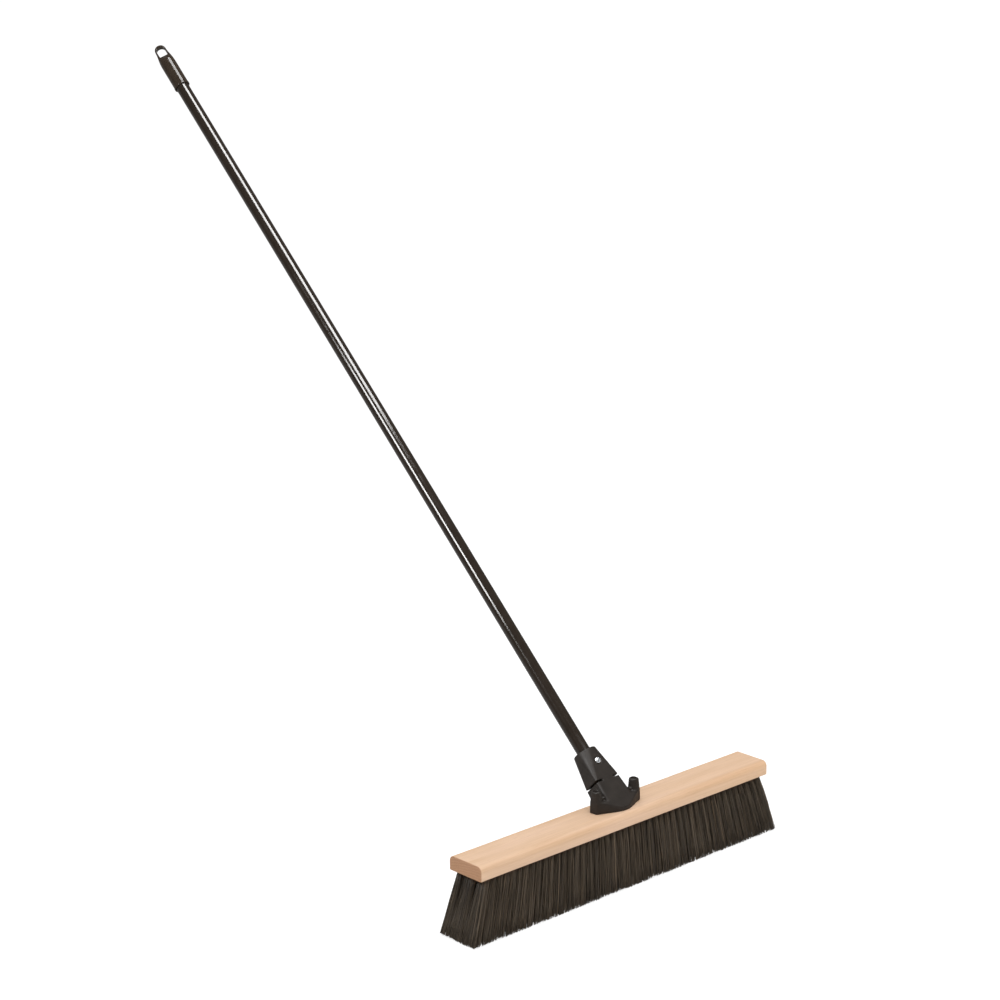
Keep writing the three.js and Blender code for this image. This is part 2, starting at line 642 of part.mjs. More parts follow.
addPiece(broom, 'block', blockGeometry(), 'wood');
for (let row = 0; row < TUFT_ROWS; row += 1) addBristleRow(row);
addPiece(broom, 'bracket_base', bracketBaseGeometry(), 'bracket');
for (const [side, x] of screwPlaces()) {
  addPiece(broom, `base_screw_${side}`, screwGeometry().translate(x, 0, BRACKET_Z), 'zinc');
}
addPiece(handleGroup, 'handle_socket', socketGeometry(), 'bracket');
addPiece(handleGroup, 'socket_bolt', boltGeometry(), 'zinc');
addPiece(handleGroup, 'bolt_washer', washerGeometry(), 'zinc');
addPiece(handleGroup, 'bolt_nut', nutGeometry(), 'zinc');
addPiece(handleGroup, 'handle_tube', tubeGeometry(), 'paint');
addPiece(handleGroup, 'hang_cap', capGeometry(), 'cap');

export default broom;
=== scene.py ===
"""Push broom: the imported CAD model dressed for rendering, in metres, in the CAD's own frame.

Shapes that come from distance functions and sweeps are worked out in millimetres and scaled once.
"""
import math

import bpy
import numpy as np
from mathutils import Matrix, Vector


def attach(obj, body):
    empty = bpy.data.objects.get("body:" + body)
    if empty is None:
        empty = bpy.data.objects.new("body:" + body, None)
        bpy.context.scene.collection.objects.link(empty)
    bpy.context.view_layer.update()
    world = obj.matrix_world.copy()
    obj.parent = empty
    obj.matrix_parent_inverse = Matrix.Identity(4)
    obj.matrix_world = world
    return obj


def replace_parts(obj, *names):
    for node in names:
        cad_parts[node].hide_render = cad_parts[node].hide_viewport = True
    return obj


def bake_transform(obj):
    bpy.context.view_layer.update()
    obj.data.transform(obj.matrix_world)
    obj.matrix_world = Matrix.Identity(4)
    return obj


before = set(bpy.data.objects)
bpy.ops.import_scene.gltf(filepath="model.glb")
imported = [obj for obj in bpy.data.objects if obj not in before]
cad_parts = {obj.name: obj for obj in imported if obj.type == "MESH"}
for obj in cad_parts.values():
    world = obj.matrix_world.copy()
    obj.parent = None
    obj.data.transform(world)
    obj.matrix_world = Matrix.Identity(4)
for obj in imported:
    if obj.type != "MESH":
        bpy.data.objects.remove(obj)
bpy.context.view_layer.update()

MM = 0.001

# Places and sizes in millimetres. They are the CAD model's, or within a few millimetres of them
# where a piece follows the real one more closely than its solid does.

# Clearance between pieces that seat on or pass through each other
SEAT_GAP = 0.3

# Wood block
UNDERSIDE_Z = 97.0
DECK_Z = 120.0
BLOCK_HALF = (305.0, 34.0)
BLOCK_TOP_ROUND = 8.5
BLOCK_BOTTOM_ROUND = 2.0
BLOCK_END_ROUND = 1.2
BLOCK_END_STEPS = 4

# Tufts
TUFT_ROWS = 5
TUFTS_PER_ROW = 46
TUFT_PITCH = 12.7
ROW_PITCH = 12.75
LAST_TUFT_X = 285.75
LAST_ROW_Y = 25.5
END_FLARE = 30.0
END_FLARE_POWER = 1.2
SIDE_FLARE = 4.7
TIP_SPREAD_Y = (LAST_ROW_Y + SIDE_FLARE) / LAST_ROW_Y

# Strands: how a tuft's root and tips spread, and how uneven single strands are
STRANDS = 80
STRANDS_IN_LAST_TUFT = 120
STRAND_RADIUS = 0.58
STRAND_RINGS = 5
ROOT_DEPTH = 2.0
TUFT_ROOT_RADIUS = 4.2
ROOT_WIDENING = 1.1
LAST_ROOT_WIDENING = 1.35
LAST_ROOT_OUTWARD = 1.8
LAST_TIP_OUTWARD = 2.4
TIP_REACH = (0.58, 0.56)
TIP_LIMIT = (323.2, 36.9)
TIP_SCATTER = 1.2
STRAND_BOW = 0.8
LEAST_TRIM = 0.05
STRAND_TRIM = 0.8
TUFT_TRIM = 1.8
MEAN_TONE = 0.45
TONE_SCATTER = 0.2
GOLDEN_ANGLE = 2.39996
SEED = 11

# Bracket base: a hexagonal skirt, a screw boss near each end and webs from the bosses to the tower
BRACKET_Z = DECK_Z + SEAT_GAP
SKIRT_HALF = (46.5, 23.6)
SKIRT_FRONT_HALF_FLAT = 7.0
SKIRT_END_HALF_WIDTH = 7.5
SKIRT_HEIGHT = 17.5
SKIRT_DRAFT = 0.02
BOSS_X = 40.0
BOSS_TOP = 34.5
BOSS_RADIUS = 7.4
BOSS_DRAFT = 0.1
BOSS_DRAFT_HEIGHT = 17.0
BOSS_END_X = 46.6
WEB_HALF_THICKNESS = 3.4
WEB_TOP = 27.0
WEB_SHOULDER = 21.0
WEB_SLOPE_FOOT = 46.5

# Tower, kerfed neck and socket, in the handle's frame; pairs are half sizes along X and Y
TOWER_HALF = (23.6, 16.5)
TOWER_FLARE = (0.08, 0.03)
TOWER_CORNER = 3.5
KERF = (41.0, 44.0)
NECK_HALF_WIDTH = 12.5
RELIEF_X = 12.9
RELIEF_RADIUS = 1.9
SOCKET_TOP = 97.2
SOCKET_HALF = 18.2
SOCKET_MOUTH_FLAT = 0.8
BORE_RADIUS = 11.4
BORE_BOTTOM = 58.0

# Bolt across the socket, with its washer and nut
BOLT_Z = 73.5
BOLT_SEAT = 16.9
BOLT_SEAT_RADIUS = 6.8
BOLT_HOLE_RADIUS = 3.3
BOLT_SHANK_RADIUS = 2.8
BOLT_HEAD_RADIUS = 5.4
BOLT_HEAD_HEIGHT = 3.6
BOLT_DOME_RADIUS = 6.4
BOLT_TAIL = 1.5
WASHER_RADIUS = 6.2
WASHER_THICKNESS = 1.2
WASHER_CHAMFER = 0.3
NUT_HALF_FLATS = 4.95
NUT_CHAMFER_RADIUS = 5.1
NUT_THICKNESS = 5.0
NUT_THREAD_RADIUS = 3.0
NUT_INNER = BOLT_SEAT + 2 * SEAT_GAP + WASHER_THICKNESS
NUT_OUTER = NUT_INNER + NUT_THICKNESS

# Wood screws down through the bosses
SCREW_SINK = 4.2
SCREW_BITE = 16.0
SCREW_LENGTH = SCREW_BITE + BOSS_TOP - SCREW_SINK
SCREW_HEAD_RADIUS = 4.3
SCREW_HEAD_HEIGHT = 3.2
SCREW_SHANK_RADIUS = 1.9
SCREW_POINT = 5.0
SCREW_THREAD_TOP = -14.0
SCREW_HOLE_RADIUS = 2.5
SCREW_SINK_RADIUS = 4.7
SCREW_SINK_DEPTH = 6.3

# Tube and hang cap; the cap's taper is given as (height, radius)
TUBE_RADIUS = 11.1
TUBE_WALL = 1.0
TUBE_ENDS = (58.3, 1500.0)
TUBE_CHAMFER = 0.3
CAP_BOTTOM = 1446.0
CAP_TOP = 1538.0
CAP_RIM_RADIUS = 13.7
CAP_RIM_LENGTH = 4.0
CAP_TAPER = ((1498, 13.2), (1504, 12.9), (1510, 12.2), (1518, 10.8), (1524, 10.0), (1530, 9.8))
CAP_SHOULDER = (1502.0, 1514.0)
CAP_HALF_THICKNESS = 13.6
TAB_HALF_THICKNESS = 5.0
TAB_HALF_WIDTH = 9.8
EYE_HALF_WIDTH = 7.4
EYE_TOP_WALL = 5.0
EYE_DEPTH = 24.0
EYE_TURN = math.radians(34)

# The handle's frame: origin on the block's top, Z up the handle, -Y out of the bracket's front
LEAN = math.radians(45.8)
HANDLE_ORIGIN = np.array([0.0, -3.5, DECK_Z])
HANDLE_AXES = np.array([
    [1.0, 0.0, 0.0],
    [0.0, math.cos(LEAN), -math.sin(LEAN)],
    [0.0, math.sin(LEAN), math.cos(LEAN)],
])


def to_handle(points):
    return (points - HANDLE_ORIGIN) @ HANDLE_AXES.T


def from_handle(points):
    return np.asarray(points, float) @ HANDLE_AXES + HANDLE_ORIGIN


# ---------------------------------------------------------------- meshes

def make_piece(name, points, faces, material, smooth=True):
    """A mesh object from points in millimetres in the row frame."""
    mesh = bpy.data.meshes.new(name)
    faces = faces.tolist() if isinstance(faces, np.ndarray) else faces
    mesh.from_pydata((np.asarray(points, float) * MM).tolist(), [], faces)
    mesh.validate()
    mesh.polygons.foreach_set("use_smooth", [smooth] * len(mesh.polygons))
    mesh.materials.append(material)
    piece = bpy.data.objects.new(name, mesh)
    bpy.context.scene.collection.objects.link(piece)
    return piece


def smooth_min(a, b, k):
    h = np.maximum(k - np.abs(a - b), 0) / k
    return np.minimum(a, b) - h * h * k / 4


def smooth_max(a, b, k):
    return -smooth_min(-a, -b, k)


def rounded_rectangle(u, v, half_u, half_v, radius):
    """Distance to a rounded rectangle in a plane; the half sizes may vary from point to point."""
    qu = np.abs(u) - (half_u - radius)
    qv = np.abs(v) - (half_v - radius)
    outside = np.hypot(np.maximum(qu, 0), np.maximum(qv, 0))
    return outside + np.minimum(np.maximum(qu, qv), 0) - radius


def slope(distance, points, step):
    out = np.empty_like(points)
    for axis in range(3):
        shift = np.zeros(3)
        shift[axis] = step
        out[:, axis] = (distance(points + shift) - distance(points - shift)) / (2 * step)
    return out


def settle(distance, points, step, rounds):
    """Moves points onto the zero level of a distance function."""
    for _ in range(rounds):
        grad = slope(distance, points, 0.05 * step)
        square = np.maximum((grad * grad).sum(1), 1e-6)
        move = (distance(points) / square)[:, None] * grad
        length = np.maximum(np.linalg.norm(move, axis=1), 1e-12)[:, None]
        points = points - move * np.minimum(1, 0.5 * step / length)
    return points


def surface(distance, low, high, step):
    """Quads over the zero level of a distance function: a surface net, relaxed onto the level."""
    axes = [np.arange(lo - step, hi + 2 * step, step) for lo, hi in zip(low, high)]
    lattice = np.stack(np.meshgrid(*axes, indexing="ij"), -1)
    value = distance(lattice)
    cells = tuple(n - 1 for n in value.shape)
    total = np.zeros(cells + (3,))
    count = np.zeros(cells)
    crossings = []
    for axis in range(3):
        u, v = (axis + 1) % 3, (axis + 2) % 3
        order = (axis, u, v)
        turned = value.transpose(order)
        a, b = turned[:-1], turned[1:]
        cross = (a < 0) != (b < 0)
        at = np.where(cross, a / np.where(cross, a - b, 1), 0)
        sums = total.transpose(order + (3,))
        counts = count.transpose(order)
        nu, nv = cells[u], cells[v]
        for du in (0, 1):
            for dv in (0, 1):
                c = cross[:, du:du + nu, dv:dv + nv]
                sums[..., axis] += at[:, du:du + nu, dv:dv + nv]
                sums[..., u] += c * du
                sums[..., v] += c * dv
                counts += c
        crossings.append((order, cross, a < 0))
    used = count > 0
    ids = np.full(cells, -1)
    ids[used] = np.arange(used.sum())
    offset = total[used] / count[used][:, None]
    points = np.array([ax[0] for ax in axes]) + (np.argwhere(used) + offset) * step
    quads = []
    for order, cross, inside_first in crossings:
        turned = ids.transpose(order)
        i, j, k = np.nonzero(cross)
        keep = (j > 0) & (k > 0) & (j < turned.shape[1]) & (k < turned.shape[2])
        i, j, k = i[keep], j[keep], k[keep]
        quad = np.stack([turned[i, j - 1, k - 1], turned[i, j, k - 1],
                         turned[i, j, k], turned[i, j - 1, k]], 1)
        flip = ~inside_first[i, j, k]
        quad[flip] = quad[flip][:, ::-1]
        quads.append(quad)
    quads = np.concatenate(quads)
    points = settle(distance, points, step, 3)
    for _ in range(2):
        near = np.zeros_like(points)
        degree = np.zeros(len(points))
        for s in range(4):
            a, b = quads[:, s], quads[:, (s + 1) % 4]
            np.add.at(near, a, points[b])
            np.add.at(degree, a, 1)
        points = settle(distance, 0.5 * points + 0.5 * near / degree[:, None], step, 2)
    return points, quads


def lathe(profile, sides):
    """A surface of revolution about Z through a closed loop of (radius, z) pairs."""
    profile = np.asarray(profile, float)
    turn = np.arange(sides) * 2 * math.pi / sides
    rings = np.stack([
        profile[:, :1] * np.cos(turn), profile[:, :1] * np.sin(turn),
        np.repeat(profile[:, 1:], sides, 1)], -1)
    faces = []
    for ring in range(len(profile)):
        a, b = ring * sides, (ring + 1) % len(profile) * sides
        for i in range(sides):
            j = (i + 1) % sides
            faces.append((a + i, a + j, b + j, b + i))
    return rings.reshape(-1, 3), faces


# ---------------------------------------------------------------- materials

def new_material(name):
    material = bpy.data.materials.new(name)
    material.use_nodes = True
    return material, material.node_tree, material.node_tree.nodes["Principled BSDF"]


def add(tree, kind, links=None, **values):
    """A node: values set its inputs or attributes by name, and links feed its inputs."""
    made = tree.nodes.new(kind)
    for key, value in values.items():
        if key in made.inputs:
            made.inputs[key].default_value = value
        else:
            setattr(made, key, value)
    for key, source in (links or {}).items():
        tree.links.new(source, made.inputs[key])
    return made


def place(tree, scale, location=(0, 0, 0)):
    """Object coordinates in metres, scaled per axis."""
    where = add(tree, "ShaderNodeTexCoord").outputs["Object"]
    mapped = add(tree, "ShaderNodeMapping", {"Vector": where})
    mapped.inputs["Scale"].default_value = scale
    mapped.inputs["Location"].default_value = location
    return mapped.outputs["Vector"]


def noise(tree, scale, detail, roughness, distortion=0.0, location=(0, 0, 0)):
    """Noise over object coordinates; the larger an axis's scale, the finer it is that way."""
    vector = place(tree, scale, location)
    made = add(tree, "ShaderNodeTexNoise", {"Vector": vector}, Scale=1.0, Detail=detail,
               Roughness=roughness, Distortion=distortion)
    return made.outputs["Fac"]


def ramp(tree, source, stops):
    """A colour ramp; each stop is (position, colour)."""
    made = add(tree, "ShaderNodeValToRGB", {"Fac": source})
    elements = made.color_ramp.elements
    while len(elements) < len(stops):
        elements.new(0.5)
    for element, (position, value) in zip(elements, stops):
        element.position = position
        element.color = (*value, 1)
    return made.outputs["Color"]


def mix(tree, fac, a, b, blend="MIX"):
    """Mixes two colours; fac, a and b are sockets or constants."""
    made = add(tree, "ShaderNodeMix", data_type="RGBA", blend_type=blend)
    for socket, value in ((made.inputs[0], fac), (made.inputs[6], a), (made.inputs[7], b)):
        if isinstance(value, bpy.types.NodeSocket):
            tree.links.new(value, socket)
        elif isinstance(value, (int, float)):
            socket.default_value = value
        else:
            socket.default_value = (*value, 1)
    return made.outputs[2]


def spread(tree, source, low, high, to_low, to_high):
    """A value carried from one range to another."""
    made = add(tree, "ShaderNodeMapRange", {"Value": source})
    ends = {"From Min": low, "From Max": high, "To Min": to_low, "To Max": to_high}
    for key, value in ends.items():
        made.inputs[key].default_value = value
    return made.outputs["Result"]


def bump(tree, source, distance):
    made = add(tree, "ShaderNodeBump", {"Height": source}, Strength=1.0, Distance=distance)
    return made.outputs["Normal"]


def colour(red, green, blue):
    """sRGB, 0 to 255, as linear values."""
    def linear(c):
        c /= 255
        return c / 12.92 if c <= 0.04045 else ((c + 0.055) / 1.055) ** 2.4
    return tuple(linear(c) for c in (red, green, blue))


def wood_material():
    """Pale hardwood, its grain along X, with painted shade that makes the front rounding warmer and
    darker, and darker end grain.
    """
    material, tree, shader = new_material("wood")
    where = add(tree, "ShaderNodeSeparateXYZ",
                {"Vector": add(tree, "ShaderNodeTexCoord").outputs["Object"]}).outputs

    # Sides: broad figure, fine streaks and pores
    broad = noise(tree, (2.2, 26, 26), 3, 0.55, 0.6)
    fine = noise(tree, (9, 420, 420), 4, 0.6, 0.2, (3, 1, 2))
    pores = noise(tree, (60, 1500, 1500), 2, 0.5, 0, (1, 5, 3))
    side = ramp(tree, broad, [(0.3, colour(236, 201, 173)), (0.52, colour(230, 194, 161)),
                              (0.72, colour(223, 183, 144))])
    streak = ramp(tree, fine, [(0.42, (0.9, 0.87, 0.84)), (0.58, (1.0, 1.0, 1.0))])
    side = mix(tree, 0.55, side, streak, "MULTIPLY")
    fleck = ramp(tree, pores, [(0.28, (0.78, 0.7, 0.62)), (0.38, (1.0, 1.0, 1.0))])
    side = mix(tree, 0.45, side, fleck, "MULTIPLY")

    # A warmer, darker broken band of painted shade on the front rounding, where Z - Y nears the
    # unrounded corner's value
    corner = (DECK_Z + BLOCK_HALF[1]) * MM
    height = add(tree, "ShaderNodeMath", {0: where["Z"], 1: where["Y"]}, operation="SUBTRACT")
    nearness = spread(tree, height.outputs[0], corner - 0.012, corner - 0.003, 0, 1)
    rounding_shade = ramp(tree, nearness, [(0.0, (1, 1, 1)), (1.0, (0.89, 0.81, 0.7))])
    broken = spread(tree, noise(tree, (4, 45, 45), 3, 0.6, 0.8, (7, 0, 2)), 0.38, 0.6, 0.25, 1)
    side = mix(tree, broken, side, rounding_shade, "MULTIPLY")

    # Ends: growth rings and open pores
    rings = add(tree, "ShaderNodeTexWave", {"Vector": place(tree, (1, 260, 260), (0, 9, 30))},
                wave_type="RINGS", rings_direction="X", Scale=0.3, Distortion=3.0, Detail=3.0)
    end = ramp(tree, rings.outputs["Fac"],
               [(0.1, colour(190, 142, 106)), (0.85, colour(196, 149, 113))])
    dots = ramp(tree, noise(tree, (500, 900, 900), 2, 0.6),
                [(0.35, (0.72, 0.68, 0.64)), (0.5, (1, 1, 1))])
    end = mix(tree, 0.4, end, dots, "MULTIPLY")
    out = add(tree, "ShaderNodeMath", {0: where["X"]}, operation="ABSOLUTE").outputs[0]
    end_x = BLOCK_HALF[0] * MM
    at_end = spread(tree, out, end_x - 0.0014, end_x - 0.0002, 0, 1)

    tree.links.new(mix(tree, at_end, side, end), shader.inputs["Base Color"])
    tree.links.new(spread(tree, fine, 0.3, 0.7, 0.52, 0.68), shader.inputs["Roughness"])
    tree.links.new(bump(tree, fine, 0.0002), shader.inputs["Normal"])
    shader.inputs["Specular IOR Level"].default_value = 0.35
    return material


def bristle_material():
    """Dark brown filaments: each strand's own tone, with lighter and darker stretches along it."""
    material, tree, shader = new_material("bristle")
    tone = add(tree, "ShaderNodeAttribute", attribute_name="strand_tone").outputs["Fac"]
    along = noise(tree, (240, 240, 26), 3, 0.6)
    dark = ramp(tree, tone, [(0.0, colour(62, 53, 43)), (0.55, colour(88, 77, 63)),
                             (0.9, colour(112, 97, 81)), (1.0, colour(140, 121, 100))])
    patch = ramp(tree, along, [(0.35, (0.72, 0.72, 0.72)), (0.65, (1.1, 1.08, 1.04))])
    tree.links.new(mix(tree, 0.8, dark, patch, "MULTIPLY"), shader.inputs["Base Color"])
    tree.links.new(spread(tree, along, 0.3, 0.7, 0.42, 0.58), shader.inputs["Roughness"])
    shader.inputs["Specular IOR Level"].default_value = 0.35
    return material


def plastic_material(name, shade, rough, texture, rub, gloss):
    """Moulded plastic: a fine texture in the surface and faint rubbed patches."""
    material, tree, shader = new_material(name)
    patch = noise(tree, (55, 55, 55), 4, 0.6)
    grain = noise(tree, (1400, 1400, 1400), 2, 0.5)
    lift = tuple(c * 1.35 + 0.002 for c in shade)
    tree.links.new(mix(tree, spread(tree, patch, 0.35, 0.7, 0, 1), shade, lift),
                   shader.inputs["Base Color"])
    rubbed = spread(tree, patch, 0.3, 0.7, rough - rub, rough + rub)
    tree.links.new(rubbed, shader.inputs["Roughness"])
    tree.links.new(bump(tree, grain, texture), shader.inputs["Normal"])
    shader.inputs["Specular IOR Level"].default_value = gloss
    return material


def paint_material():
    """Gloss black-brown paint with a little orange peel, and rubbed streaks along the tube."""
    material, tree, shader = new_material("paint")
    across = noise(tree, (60, 60, 6), 3, 0.6)
    peel = noise(tree, (90, 90, 90), 2, 0.5)
    shade = colour(44, 36, 29)
    worn = colour(49, 41, 34)
    tree.links.new(mix(tree, spread(tree, across, 0.35, 0.7, 0, 1), shade, worn),
                   shader.inputs["Base Color"])
    tree.links.new(spread(tree, across, 0.3, 0.7, 0.09, 0.15), shader.inputs["Roughness"])
    tree.links.new(bump(tree, peel, 0.00002), shader.inputs["Normal"])
    shader.inputs["IOR"].default_value = 1.35
    return material


def zinc_material():
    """Bright zinc plate with faint spangle and turned marks."""
    material, tree, shader = new_material("zinc")
    cloud = noise(tree, (500, 500, 500), 3, 0.6)
    mark = noise(tree, (2200, 2200, 2200), 2, 0.5)
    tree.links.new(ramp(tree, cloud, [(0.3, colour(206, 209, 212)), (0.7, colour(232, 234, 236))]),
                   shader.inputs["Base Color"])
    tree.links.new(spread(tree, cloud, 0.3, 0.7, 0.22, 0.36), shader.inputs["Roughness"])
    tree.links.new(bump(tree, mark, 0.00003), shader.inputs["Normal"])
    shader.inputs["Metallic"].default_value = 1.0
    return material


WOOD = wood_material()
BRISTLE = bristle_material()
BRACKET = plastic_material(
    "bracket", colour(38, 31, 25), rough=0.54, texture=0.00004, rub=0.05, gloss=0.24)
CAP = plastic_material(
    "cap", colour(54, 45, 37), rough=0.07, texture=0.000001, rub=0.02, gloss=0.13)
PAINT = paint_material()
ZINC = zinc_material()


# ---------------------------------------------------------------- block

def block_profile():
    """The block's cross-section as (y, z), anticlockwise seen from +X, with its outward normals."""
    half = BLOCK_HALF[1]
    corners = [
        (half - BLOCK_BOTTOM_ROUND, UNDERSIDE_Z + BLOCK_BOTTOM_ROUND, BLOCK_BOTTOM_ROUND, -90, 5),
        (half - BLOCK_TOP_ROUND, DECK_Z - BLOCK_TOP_ROUND, BLOCK_TOP_ROUND, 0, 14),
        (-half + BLOCK_TOP_ROUND, DECK_Z - BLOCK_TOP_ROUND, BLOCK_TOP_ROUND, 90, 14),
        (-half + BLOCK_BOTTOM_ROUND, UNDERSIDE_Z + BLOCK_BOTTOM_ROUND, BLOCK_BOTTOM_ROUND, 180, 5),
    ]
    points, normals = [], []
    for y, z, radius, start, steps in corners:
        for step in range(steps + 1):
            angle = math.radians(start + 90 * step / steps)
            normals.append((math.cos(angle), math.sin(angle)))
            points.append((y + radius * normals[-1][0], z + radius * normals[-1][1]))
    return np.array(points), np.array(normals)


def sanding(x):
    """How far the sanded faces lie inside the sawn size: a faint wave along the block."""
    if abs(x) > BLOCK_HALF[0] - 5:
        return 0.0
    return (0.12 * math.sin(x / 47.0) + 0.08 * math.sin(x / 19.0 + 1.3)) * 0.6 + 0.12


def build_block():
    profile, normals = block_profile()
    half = BLOCK_HALF[0]
    right = []
    for step in range(BLOCK_END_STEPS + 1):
        angle = math.radians(90 * step / BLOCK_END_STEPS)
        right.append((half - BLOCK_END_ROUND * (1 - math.sin(angle)),
                      BLOCK_END_ROUND * (1 - math.cos(angle))))
    left = [(-x, inset) for x, inset in reversed(right)]
    middle = [(x, 0.0) for x in np.linspace(-half + 6, half - 6, 90)]
    rings = left + middle + right
    count = len(profile)
    points = []
    for x, inset in rings:
        ring = profile - normals * max(inset, sanding(x))
        points += [(x, y, z) for y, z in ring]
    faces = []
    for ring in range(len(rings) - 1):
        for i in range(count):
            j = (i + 1) % count
            a, b = ring * count, (ring + 1) * count
            faces.append((a + i, a + j, b + j, b + i))
    last = (len(rings) - 1) * count
    faces.append(tuple(range(count))[::-1])
    faces.append(tuple(last + i for i in range(count)))
    piece = make_piece("wood_block", points, faces, WOOD)
    piece.data.polygons.foreach_set("use_smooth", [len(face) == 4 for face in faces])
    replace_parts(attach(piece, "head"), "block")


# ---------------------------------------------------------------- bristles

def tip_x(root_x, last_x):
    """Where a tuft's tip goes, so that the row's last tuft ends at the brush's end."""
    share = abs(root_x) / last_x
    return np.sign(root_x) * (share * LAST_TUFT_X + END_FLARE * share ** END_FLARE_POWER)


def tuft_strands(root_x, root_y, last_x, rng):
    """Centrelines of one tuft's strands, (strand, ring, 3), with a tone for each."""
    spacing = tip_x(root_x + TUFT_PITCH / 2, last_x) - tip_x(root_x - TUFT_PITCH / 2, last_x)
    outermost = abs(root_x) > last_x - 1
    outward = np.array([np.sign(root_x) * outermost, 0])
    count = STRANDS_IN_LAST_TUFT if outermost else STRANDS
    radius = np.sqrt((np.arange(count) + 0.5) / count)
    angle = (np.arange(count) + 0.5) * GOLDEN_ANGLE + rng.uniform(0, 6.28)
    disc = np.stack([radius * np.cos(angle), radius * np.sin(angle)], 1)
    widening = (LAST_ROOT_WIDENING if outermost else ROOT_WIDENING, 1)
    hole = np.array([root_x, root_y]) + LAST_ROOT_OUTWARD * outward
    root = hole + TUFT_ROOT_RADIUS * disc * widening
    square = disc * (radius / np.abs(disc).max(axis=1))[:, None] ** 0.8
    reach = np.array([TIP_REACH[0] * spacing, TIP_REACH[1] * ROW_PITCH * TIP_SPREAD_Y])
    middle = np.array([tip_x(root_x, last_x), root_y * TIP_SPREAD_Y]) + LAST_TIP_OUTWARD * outward
    tip = middle + reach * square + rng.normal(0, TIP_SCATTER, disc.shape)
    tip = np.clip(tip, -np.array(TIP_LIMIT), TIP_LIMIT)
    bow = rng.normal(0, STRAND_BOW, tip.shape)
    trim = np.abs(rng.normal(0, STRAND_TRIM, count)) + LEAST_TRIM + TUFT_TRIM * rng.uniform() ** 2
    t = np.linspace(0, 1, STRAND_RINGS)[None, :, None]
    flat = root[:, None] + (tip - root)[:, None] * t + bow[:, None] * np.sin(math.pi * t)
    top = UNDERSIDE_Z + ROOT_DEPTH
    z = top + (trim - top)[:, None] * t[..., 0]
    tone = np.clip(rng.normal(MEAN_TONE, TONE_SCATTER, count), 0, 1)
    return np.concatenate([flat, z[..., None]], 2), tone


def strand_mesh(lines, radius):
    """Three-sided strands round centrelines, closed at both ends."""
    count, rings = lines.shape[:2]
    turn = np.arange(3) * 2 * math.pi / 3
    phase = (np.arange(count) * 1.7)[:, None] + turn
    around = np.stack([np.cos(phase), np.sin(phase), np.zeros_like(phase)], -1) * radius
    points = lines[:, :, None] + around[:, None]
    base = (np.arange(count) * rings * 3)[:, None, None, None]
    ring = (np.arange(rings - 1) * 3)[None, :, None, None]
    side = np.array([[i, i + 3, (i + 1) % 3 + 3, (i + 1) % 3] for i in range(3)])[None, None]
    quads = (base + ring + side).reshape(-1, 4)
    start = (np.arange(count) * rings * 3)[:, None]
    last = start + (rings - 1) * 3
    caps = np.concatenate([start + np.array([0, 1, 2]), last + np.array([2, 1, 0])])
    return points.reshape(-1, 3), quads.tolist() + caps.tolist()


def build_bristles():
    """Ten banks, as in the CAD: five rows of tufts, each row parted near its middle."""
    rng = np.random.default_rng(SEED)
    for row in range(TUFT_ROWS):
        count = TUFTS_PER_ROW - row % 2
        first_right = math.ceil((count + 1) / 2)
        root_y = row * ROW_PITCH - LAST_ROW_Y
        last_x = (count - 1) / 2 * TUFT_PITCH
        for side, span in (("left", range(first_right)), ("right", range(first_right, count))):
            lines, tones = [], []
            for i in span:
                strands, tone = tuft_strands(i * TUFT_PITCH - last_x, root_y, last_x, rng)
                lines.append(strands)
                tones.append(tone)
            lines = np.concatenate(lines)
            points, faces = strand_mesh(lines, STRAND_RADIUS)
            name = f"bristles_{row + 1}_{side}"
            piece = make_piece(name, points, faces, BRISTLE)
            tone = np.repeat(np.concatenate(tones), STRAND_RINGS * 3).astype(np.float32)
            layer = piece.data.attributes.new("strand_tone", "FLOAT", "POINT")
            layer.data.foreach_set("value", tone)
            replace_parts(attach(piece, "head"), f"bristle_row_{row + 1}_{side}")


# ---------------------------------------------------------------- bracket

def tower_distance(points):
    """A flared foot below the kerf, and above it a socket that turns from rectangular to round."""
    lx, ly, lz = points[..., 0], points[..., 1], points[..., 2]
    rise = np.clip((lz - KERF[1]) / (SOCKET_TOP - KERF[1]), 0, 1)
    below = np.maximum(KERF[0] - lz, 0)
    half_u = TOWER_HALF[0] + (SOCKET_HALF - TOWER_HALF[0]) * rise + TOWER_FLARE[0] * below
    half_v = TOWER_HALF[1] + (SOCKET_HALF - TOWER_HALF[1]) * rise + TOWER_FLARE[1] * below
    corner = TOWER_CORNER + (SOCKET_HALF - SOCKET_MOUTH_FLAT - TOWER_CORNER) * rise
    side = rounded_rectangle(lx, ly, half_u, half_v, corner)
    return smooth_max(side, lz - SOCKET_TOP, 1.6)


